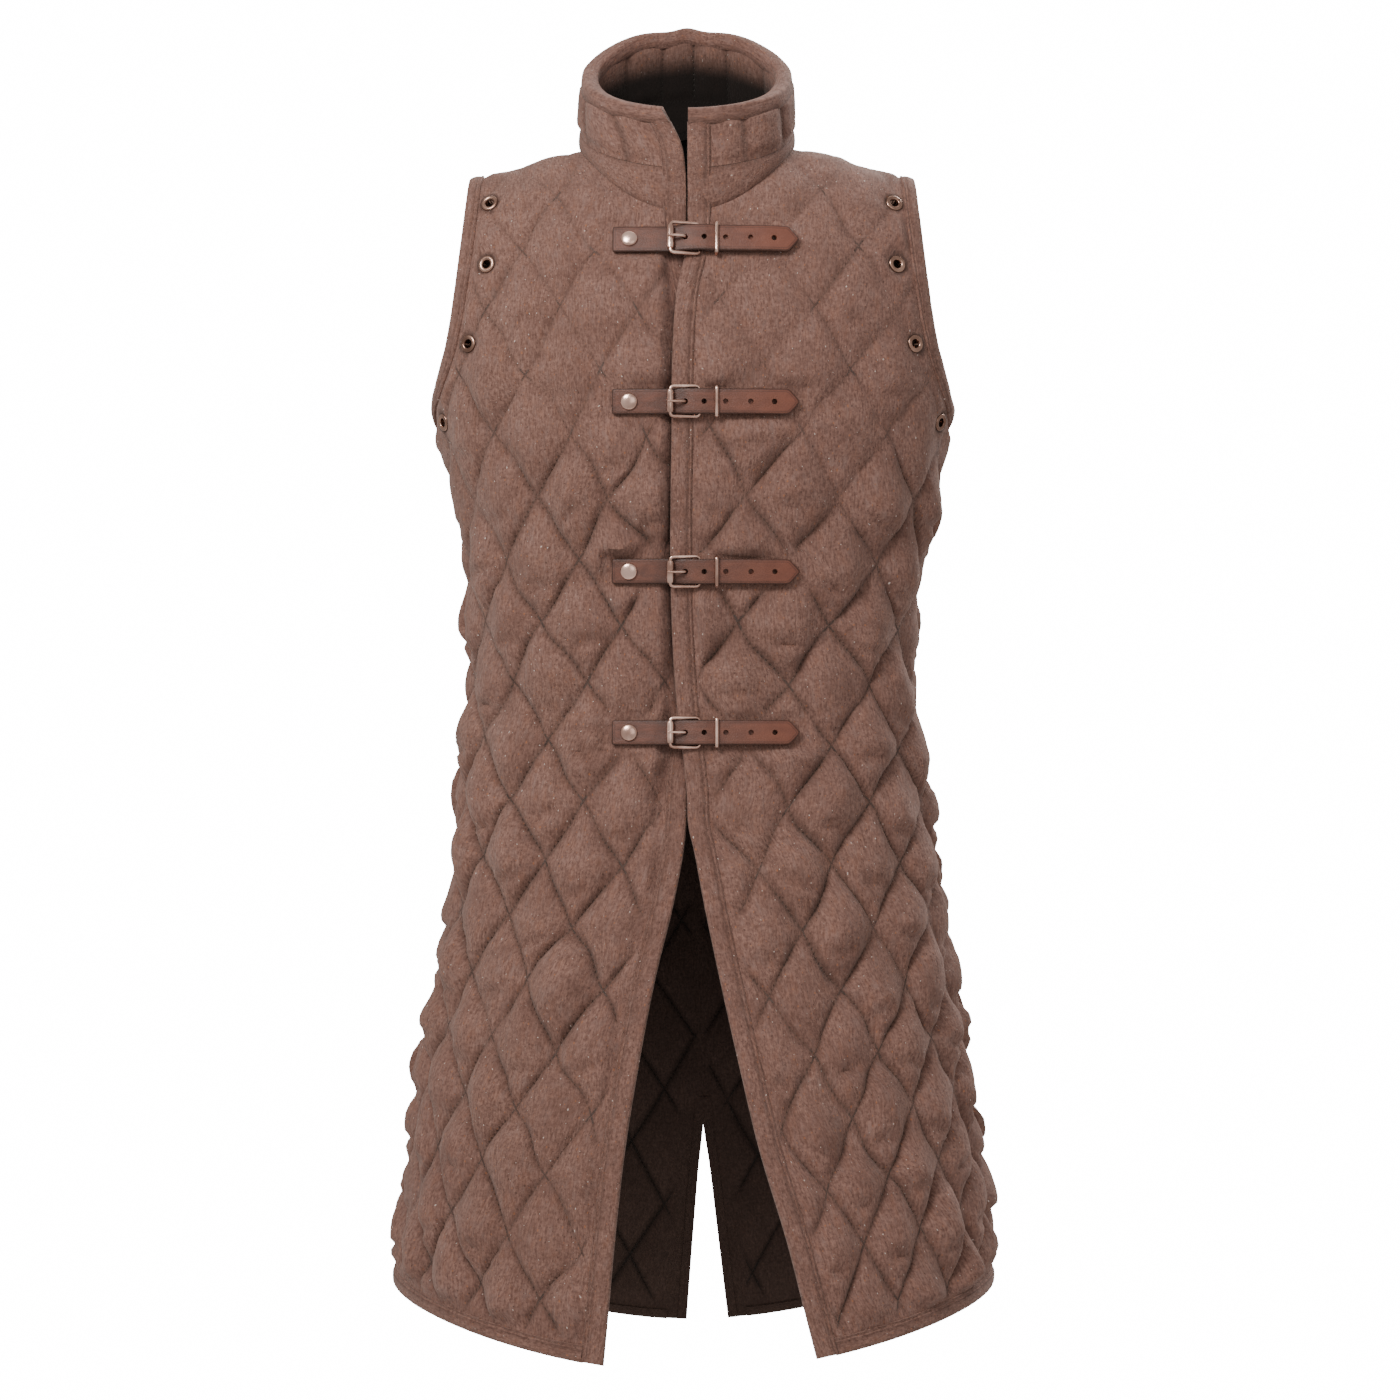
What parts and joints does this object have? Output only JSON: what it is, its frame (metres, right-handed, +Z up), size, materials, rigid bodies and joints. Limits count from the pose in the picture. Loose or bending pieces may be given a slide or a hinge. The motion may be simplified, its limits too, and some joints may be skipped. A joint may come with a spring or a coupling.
{
  "type": "gambeson",
  "caption": "Sleeveless knee-length quilted gambeson with a stand collar, buckled strap front, laced-sleeve eyelets and front and back splits.",
  "frame": {"origin": "between the shoulders, at the height where the neck meets the shoulder, where a wearer's or a hanger's shoulders carry the garment", "axes": "+Z up, -Y out of the front, +X to the wearer's left"},
  "size_m": [0.4801, 0.4174, 1.0583],
  "materials": {
    "quilted_cloth": "matt tweedy wool, dark inside",
    "cloth_binding": "matt tweedy wool",
    "strap_leather": "smooth reddish brown leather",
    "buckle_metal": "antique copper plate",
    "eyelet_metal": "antique copper plate"
  },
  "bodies": {
    "root": {"front_right": "quilted_cloth", "front_left": "quilted_cloth", "back_right": "quilted_cloth", "back_left": "quilted_cloth", "collar": "quilted_cloth", "neck_band": "quilted_cloth", "collar_rim_binding": "cloth_binding", "front_edge_binding_right": "cloth_binding", "front_edge_binding_left": "cloth_binding", "hem_binding_front_right": "cloth_binding", "hem_binding_front_left": "cloth_binding", "hem_binding_back_right": "cloth_binding", "hem_binding_back_left": "cloth_binding", "slit_binding_right": "cloth_binding", "slit_binding_left": "cloth_binding", "armhole_binding_right": "cloth_binding", "armhole_binding_left": "cloth_binding", "tongue_strap_1": "strap_leather", "tongue_strap_2": "strap_leather", "tongue_strap_3": "strap_leather", "tongue_strap_4": "strap_leather", "buckle_strap_1": "strap_leather", "buckle_strap_2": "strap_leather", "buckle_strap_3": "strap_leather", "buckle_strap_4": "strap_leather", "buckle_frame_1": "buckle_metal", "buckle_frame_2": "buckle_metal", "buckle_frame_3": "buckle_metal", "buckle_frame_4": "buckle_metal", "prong_1": "buckle_metal", "prong_2": "buckle_metal", "prong_3": "buckle_metal", "prong_4": "buckle_metal", "keeper_1": "buckle_metal", "keeper_2": "buckle_metal", "keeper_3": "buckle_metal", "keeper_4": "buckle_metal", "rivet_1": "buckle_metal", "rivet_2": "buckle_metal", "rivet_3": "buckle_metal", "rivet_4": "buckle_metal", "eyelet_front_right_1": "eyelet_metal", "eyelet_front_right_2": "eyelet_metal", "eyelet_front_right_3": "eyelet_metal", "eyelet_front_right_4": "eyelet_metal", "eyelet_front_left_1": "eyelet_metal", "eyelet_front_left_2": "eyelet_metal", "eyelet_front_left_3": "eyelet_metal", "eyelet_front_left_4": "eyelet_metal", "eyelet_back_right_1": "eyelet_metal", "eyelet_back_right_2": "eyelet_metal", "eyelet_back_right_3": "eyelet_metal", "eyelet_back_right_4": "eyelet_metal", "eyelet_back_left_1": "eyelet_metal", "eyelet_back_left_2": "eyelet_metal", "eyelet_back_left_3": "eyelet_metal", "eyelet_back_left_4": "eyelet_metal"}
  },
  "joints": []
}
